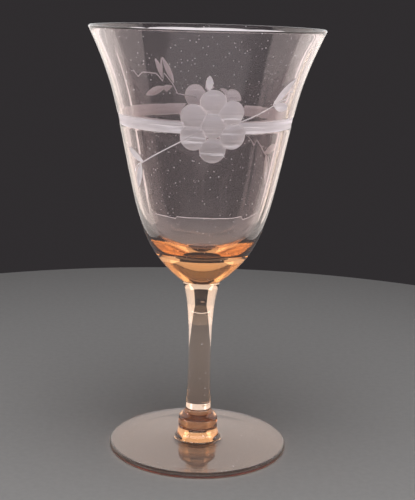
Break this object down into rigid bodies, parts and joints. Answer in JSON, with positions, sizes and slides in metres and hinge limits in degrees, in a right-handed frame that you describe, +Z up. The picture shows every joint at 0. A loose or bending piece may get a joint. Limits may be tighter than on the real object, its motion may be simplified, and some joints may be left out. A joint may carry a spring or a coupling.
{
  "type": "wine glass",
  "caption": "Footed wine glass of pale rose glass with a flared bell bowl, a slim stem on a rounded knop, a round foot, and a matte cut band, berries and leaves.",
  "frame": {"origin": "centre of the foot's underside, on the surface that the glass stands on", "axes": "+Z up the axis of the glass to its rim; -Y out of the decorated front; +X to the right of someone facing the front"},
  "size_m": [0.0886, 0.0886, 0.165],
  "materials": {
    "rose_glass": "clear and fire-polished, pale rose where thin and amber where thick; the cut areas are matte and pale"
  },
  "bodies": {
    "root": {"bowl": "rose_glass", "stem": "rose_glass", "knop": "rose_glass", "foot": "rose_glass"}
  },
  "joints": []
}
